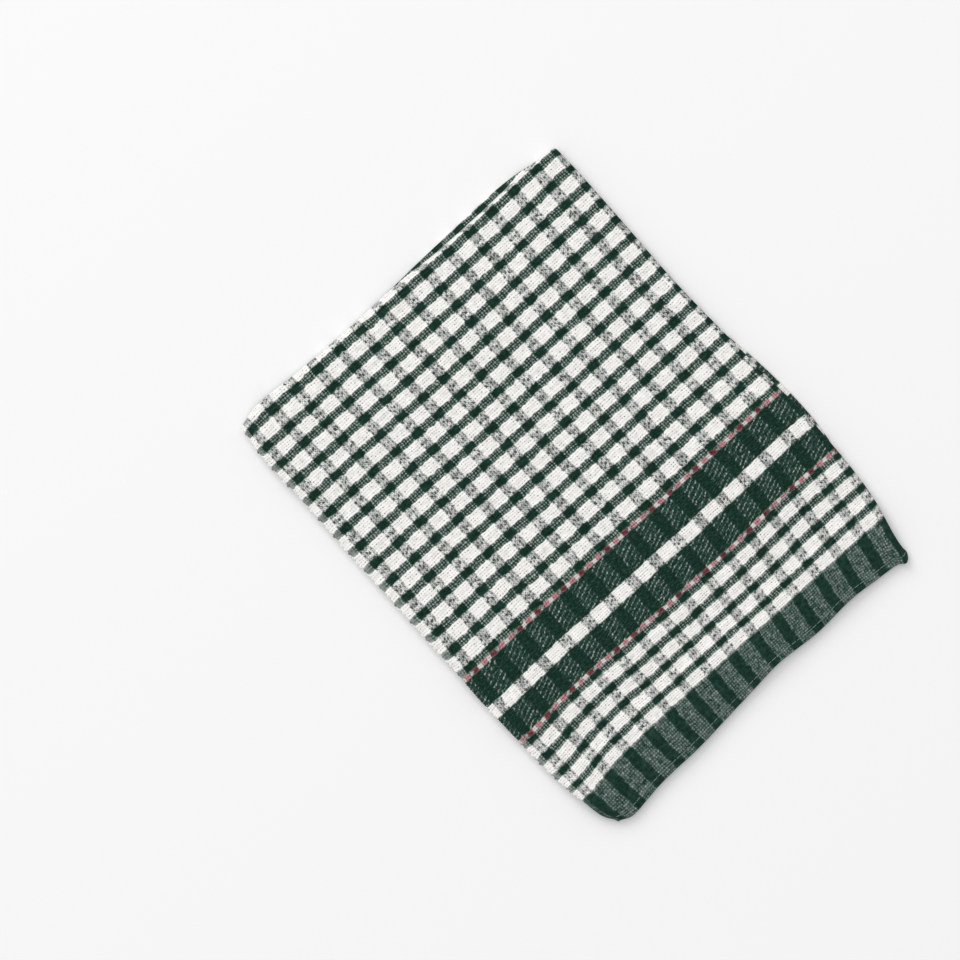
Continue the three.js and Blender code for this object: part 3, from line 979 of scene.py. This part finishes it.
# The red weft floats over every second pair of ends, and white weft fills in between. The floats are
# slanted and ragged, and what lies under them shows through.
RED_PERIOD = 4
RED_SLANT = -0.3
RAGGED_PATCHES = (1.3, 0.9)
RED_EDGE = (1.45, 0.85)
RED_THROUGH = 0.22
WARP_THROUGH = (0.72, 0.30)
RED_HAZE = (0.30, 0.22, 0.18, 1)
RED_HAZE_SHARE = 0.2
slanted = calc("MULTIPLY_ADD", calc("SUBTRACT", pick, calc("ROUND", pick)), RED_SLANT, end)
ragged = plus(slanted, mottle(*RAGGED_PATCHES))
to_float = calc("ABSOLUTE", from_nearest(ragged, RED_PERIOD / 2, RED_PERIOD))
red_share = times(red_line, ease(to_float, *RED_EDGE))
warp_through = mixed(warp_green, *WARP_THROUGH)
under_share = mixed(calc("MAXIMUM", spot, dot), RED_THROUGH, warp_through)
red_yarn = blend(under_share, RED, blend(warp_white, GREEN, WHITE))
beside_red = blend(times(red_line, RED_HAZE_SHARE), yarn, RED_HAZE)
yarn = blend(red_share, beside_red, red_yarn)

# The gaps between the threads get painted shade, deepest where four threads meet. Over a dark end under
# white weft a neutral grey is painted, partly the dark end showing through the thin weft and partly painted
# shade. Dark yarn is more mottled than pale yarn.
GAP_SHADE = 0.04
CORNER_EDGE = (0.12, 0.5)
CORNER_SHADES = (0.06, 0.66)
CORNER_POWER = 2.5
UNDER_SHADE = 0.26
UNDER_SCATTER = 0.3
DARK_FIBRES = 0.5
DARK_PATCHES = (0.8, 1.3, 2.0)
CLOUDS = (0.45, 0.22, 2.0)
CLOUD_TONE = 0.972
corner_draw = chance(calc("FLOOR", plus(end, 0.5)), calc("FLOOR", plus(pick, 0.5)), 9.0)
corner = times(gap, ease(off_end, *CORNER_EDGE))
corner_shade = times(corner, mixed(calc("POWER", corner_draw, CORNER_POWER), *CORNER_SHADES))
under_scatter = scattered(patch, UNDER_SCATTER)
# Grey over dark ends under white weft: partly seen through the thin weft, partly painted shade.
under_shade = times(dark_under, calc("MULTIPLY_ADD", spot_chance, UNDER_SHADE, under_scatter))
shade = rest(plus(calc("MULTIPLY_ADD", gap, GAP_SHADE, corner_shade), under_shade))
darkness = rest(calc("MINIMUM", whiteness, 1))
mottled = plus(scattered(fibres, DARK_FIBRES), mottle(*DARK_PATCHES))
mottled = calc("MULTIPLY_ADD", mottled, darkness, 1)
cloudy = plus(mottle(*CLOUDS), CLOUD_TONE)
shaded = blend(times(shade, cloudy, mottled), (0, 0, 0, 1), yarn)
to_linear = tree.nodes.new("ShaderNodeGamma")
set_inputs(to_linear, Gamma=EYE_GAMMA)
tree.links.new(shaded, to_linear.inputs["Color"])
tree.links.new(to_linear.outputs["Color"], shader.inputs["Base Color"])

# The relief: the round weft, lifted over the ends it crosses, and the domes of the raised ends.
WEFT_ROUND = (0.45, 0.3)
WEFT_HALF_WIDTH = 0.53
LIFT_EDGE = (0.1, 1.0)
WEFT_LIFT = 0.35
DOME_HEIGHT = 1.05
FIBRE_HEIGHT = 0.22
lift = ease(calc("ABSOLUTE", to_raised_end), *LIFT_EDGE)
weft_round = times(roundness(pick_offset, WEFT_HALF_WIDTH), mixed(twill, *WEFT_ROUND))
weft_height = calc("MULTIPLY_ADD", lift, WEFT_LIFT, weft_round)
relief = calc("MAXIMUM", weft_height, times(raised, DOME_HEIGHT))
relief = plus(relief, times(fibres, FIBRE_HEIGHT))
bump = tree.nodes.new("ShaderNodeBump")
set_inputs(bump, Distance=YARN_BUMP)
tree.links.new(relief, bump.inputs["Height"])
tree.links.new(bump.outputs["Normal"], shader.inputs["Normal"])
set_inputs(shader, Roughness=0.92, Specular_IOR_Level=0.2, Sheen_Weight=0.05, Sheen_Roughness=0.5)
cloth.data.materials.append(cotton)
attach(cloth, "root")
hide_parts("dishcloth")

# Each selvedge is the weft itself: every pick comes out of the last end, turns round beside the cloth's
# edge and goes back as the next pick. That makes the edge bumpy. Sizes are shares of the way between
# the picks, which counts up to LONGEST_BOW and LONGEST_FULL millimetres.
TURN_OUT = 0.12
TURN_UNEVEN = 0.16
TURN_SEED = 11
TURN_IN = 0.7
TURN_BOW = 0.6
TURN_FULLNESS = 0.33
TURN_STEPS = 7
TURN_SIDES = 6
LONGEST_BOW = 1.2
LONGEST_FULL = 1.3
OUTSIDE_END = 0.4
COLOUR_PICK = 0.75
EDGE_STATIONS = 4000
INSIDE_SHARE = 0.01
TINY = 1e-12


def tubes(paths, normals, radius, sides):
    """Closed tubes along many paths at once: arrays of (path, station, 3), a ring of sides at each station.

    A ring's corner lies radius * (cos a * sideways + sin a * upwards) from its station, where upwards is
    the normal squared to the path, and sideways is square to both. A flat face closes each end.
    """
    ahead = np.gradient(paths, axis=1)
    ahead /= np.linalg.norm(ahead, axis=2, keepdims=True) + TINY
    sideways = np.cross(ahead, normals)
    sideways /= np.linalg.norm(sideways, axis=2, keepdims=True) + TINY
    upwards = np.cross(sideways, ahead)
    turn = np.arange(sides) * 2 * math.pi / sides
    ring = np.cos(turn)[:, None] * sideways[:, :, None] + np.sin(turn)[:, None] * upwards[:, :, None]
    points = paths[:, :, None] + np.broadcast_to(radius, paths.shape[:2])[:, :, None, None] * ring
    count, stations = paths.shape[:2]
    index = np.arange(count * stations * sides).reshape(count, stations, sides)
    beside = np.roll(index, -1, axis=2)
    walls = np.stack([index[:, :-1], beside[:, :-1], beside[:, 1:], index[:, 1:]], -1).reshape(-1, 4)
    faces = walls.tolist() + index[:, 0, ::-1].tolist() + index[:, -1].tolist()
    return points.reshape(-1, 3), faces


def selvedge(side_turn):
    """Even stations down one selvedge: middle of the cloth's edge, way out of it, way up, and pick."""
    fine = np.linspace(0, len(y_line) - 1, EDGE_STATIONS)
    y = np.interp(fine, np.arange(len(y_line)), y_line)
    fold_turn = np.interp(fine, np.arange(len(y_line)), fold_line)
    turn = 0 * y + side_turn
    edge = [cloth_surface(0 * y, turn, y, fold_turn, sign) for sign in (1, -1)]
    inside = [cloth_surface(0 * y + INSIDE_SHARE, turn, y, fold_turn, sign)[0] for sign in (1, -1)]
    middle = (edge[0][0] + edge[1][0]) / 2
    out = middle - (inside[0] + inside[1]) / 2
    up = inside[0] - inside[1]
    return middle, out / np.linalg.norm(out, axis=1, keepdims=True), up, edge[0][1][:, 1]


def sampled(at, run, track):
    """The points of a track, read off at places along its run."""
    return np.stack([np.interp(at, run, track[:, axis]) for axis in range(3)], -1)


def weft_turns(side_turn, outside_end):
    """The turns of one selvedge: from pick to pick, bowed out by a root of a sine."""
    middle, out, up, picks = selvedge(side_turn)
    picks = np.maximum.accumulate(picks)
    shares = np.linspace(0, 1, TURN_STEPS)
    first = np.arange(HEM_PICKS + 1, PICKS - HEM_PICKS - 2, 2)
    at = first[:, None] + 0.5 + shares
    unevenness = np.random.default_rng(TURN_SEED).normal(size=len(first))[:, None]
    turn_out = TURN_OUT + TURN_UNEVEN * unevenness
    stand_out = (TURN_IN + turn_out) * np.sin(math.pi * shares) ** TURN_BOW - TURN_IN
    route = sampled(at, picks, middle)
    pitch = np.linalg.norm(route[:, -1] - route[:, 0], axis=1)[:, None]
    bow = stand_out * np.minimum(pitch, LONGEST_BOW)
    route = route + sampled(at, picks, out) * bow[:, :, None]
    fullness = TURN_FULLNESS * np.minimum(pitch, LONGEST_FULL)
    points, faces = tubes(route, sampled(at, picks, up), fullness, TURN_SIDES)
    threads = np.stack([0 * first + outside_end, first + COLOUR_PICK], -1)
    return points, faces, np.repeat(threads, TURN_STEPS * TURN_SIDES, axis=0)


def joined(parts):
    """One set of points, faces and threads from several."""
    starts = np.cumsum([0] + [len(points) for points, faces, threads in parts])
    faces = [[start + i for i in face] for start, part in zip(starts, parts) for face in part[1]]
    return np.concatenate([part[0] for part in parts]), faces, np.concatenate([part[2] for part in parts])


turn_points, turn_faces, turn_threads = joined([
    weft_turns(QUARTER, -OUTSIDE_END),
    weft_turns(-QUARTER, ENDS + OUTSIDE_END),
])
selvedge_turns = build_mesh("selvedge_turns", (turn_points + to_frame) * MM, turn_faces, turn_threads)
selvedge_turns.data.materials.append(cotton)
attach(selvedge_turns, "root")

# The hems are turned over twice and sewn down with one row of lockstitch in pale cotton thread, which
# lies in a shallow groove about 3 mm inside the edge and dips into the cloth between the stitches.
STITCH_LENGTH = 3.0
SEWING_THREAD = 0.17
THREAD_SIDES = 5
THREAD_DARK = (0.07, 0.12, 0.10, 1)
THREAD_PALE = (0.24, 0.30, 0.27, 1)
PLY_SCALE = 900.0
PRESSED_IN = 0.3
SEAM_START = 0.012
SEAM_STATIONS = 1500
SEAM_TURNS = 60
STITCH_COURSE = np.array([(0.0, -0.40), (0.14, 0.0), (0.3, 0.10), (0.5, 0.13), (0.7, 0.10), (0.86, 0.0)])


def hem_seam(hem_y, fold_turn, sunk):
    """One hem's row of stitches, right across the cloth and back: a tube through the stitch's stations."""
    across = np.linspace(SEAM_START, 1, SEAM_STATIONS)
    share = np.concatenate([across, np.ones(SEAM_TURNS), across[::-1]])
    side_turn = half_turn(across, np.linspace(QUARTER, -QUARTER, SEAM_TURNS), across)
    y = np.full(len(share), hem_y + STITCH_LINE)
    outer, inner = [cloth_surface(share, side_turn, y, 0 * y + fold_turn, sign)[0] for sign in (1, -1)]
    up = (outer - inner) / np.linalg.norm(outer - inner, axis=1, keepdims=True)
    run = np.concatenate([[0], np.cumsum(np.linalg.norm(np.diff(outer, axis=0), axis=1))])
    stitches = int(run[-1] / STITCH_LENGTH)
    stations = (np.arange(stitches)[:, None] + STITCH_COURSE[:, 0]).ravel() * STITCH_LENGTH
    height = np.tile(STITCH_COURSE[:, 1], stitches)
    way_up = sampled(stations, run, up)
    route = sampled(stations, run, outer) + way_up * (height - sunk)[:, None]
    points, faces = tubes(route[None], way_up[None], SEWING_THREAD, THREAD_SIDES)
    return points, faces, np.zeros((len(points), 2))


seam_points, seam_faces, _ = joined([
    hem_seam(UPPER_HEM_Y, QUARTER, 0),
    hem_seam(LOWER_HEM_Y, -QUARTER, PRESSED_IN),
])
hem_stitching = build_mesh("hem_stitching", (seam_points + to_frame) * MM, seam_faces)
thread_finish, thread_tree, thread_shader = new_material("sewing_thread")
ply = thread_tree.nodes.new("ShaderNodeTexNoise")
set_inputs(ply, Scale=PLY_SCALE)
place_node = thread_tree.nodes.new("ShaderNodeTexCoord")
thread_tree.links.new(place_node.outputs["Object"], ply.inputs["Vector"])
ply_ramp = thread_tree.nodes.new("ShaderNodeValToRGB")
ply_ramp.color_ramp.elements[0].color = THREAD_DARK
ply_ramp.color_ramp.elements[1].color = THREAD_PALE
thread_tree.links.new(ply.outputs["Fac"], ply_ramp.inputs["Fac"])
thread_tree.links.new(ply_ramp.outputs["Color"], thread_shader.inputs["Base Color"])
set_inputs(thread_shader, Roughness=0.7, Sheen_Weight=0.05)
hem_stitching.data.materials.append(thread_finish)
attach(hem_stitching, "root")

# The cloth lies on a plain pale surface.
FLOOR_SIZE = 6.0
FLOOR_COLOUR = (0.90, 0.90, 0.90, 1)
bpy.ops.mesh.primitive_plane_add(size=FLOOR_SIZE)
floor = bpy.context.object
floor.name = "floor"
pale, _, pale_shader = new_material("pale_floor")
set_inputs(pale_shader, Base_Color=FLOOR_COLOUR, Roughness=0.8)
floor.data.materials.append(pale)

# Soft light from the upper left of the picture, and an even pale surrounding.
PICTURE_TURN = math.radians(42.05)
SURROUNDING = 0.47
world = bpy.data.worlds.new("studio")
bpy.context.scene.world = world
world.use_nodes = True
set_inputs(world.node_tree.nodes["Background"], Color=(1, 1, 1, 1), Strength=SURROUNDING)


def softbox(name, azimuth, elevation, distance, size, power):
    """A square lamp aimed at the cloth. Azimuth is counted in the picture, anticlockwise from its right."""
    lamp = bpy.data.lights.new(name, "AREA")
    lamp.shape = "SQUARE"
    lamp.size = size
    lamp.energy = power
    made = add_object(name, lamp)
    turn = math.radians(azimuth) - PICTURE_TURN
    flat = distance * math.cos(math.radians(elevation))
    height = distance * math.sin(math.radians(elevation))
    made.location = (flat * math.cos(turn), flat * math.sin(turn), height)
    made.rotation_euler = (QUARTER - math.radians(elevation), 0, turn + QUARTER)


softbox("overhead", azimuth=150, elevation=80, distance=5.0, size=5.5, power=117)
softbox("key", azimuth=128, elevation=36, distance=6.0, size=3.5, power=150)

# The camera looks straight down. The picture is 960 pixels square and 444.5 mm wide on the cloth.
PICTURE_WIDTH = 444.5 * MM
CAMERA_HEIGHT = 1.6
SENSOR = 36.0
PICTURE_MIDDLE = np.array([-30.8, 32.2, 0])
camera_data = bpy.data.cameras.new("camera")
camera_data.sensor_width = SENSOR
camera_data.lens = SENSOR * CAMERA_HEIGHT / PICTURE_WIDTH
camera = add_object("camera", camera_data)
camera.location = tuple((PICTURE_MIDDLE + to_frame) * MM + np.array([0, 0, CAMERA_HEIGHT]))
camera.rotation_euler = (0, 0, -PICTURE_TURN)
bpy.context.scene.camera = camera
bpy.context.scene.view_settings.view_transform = "Standard"
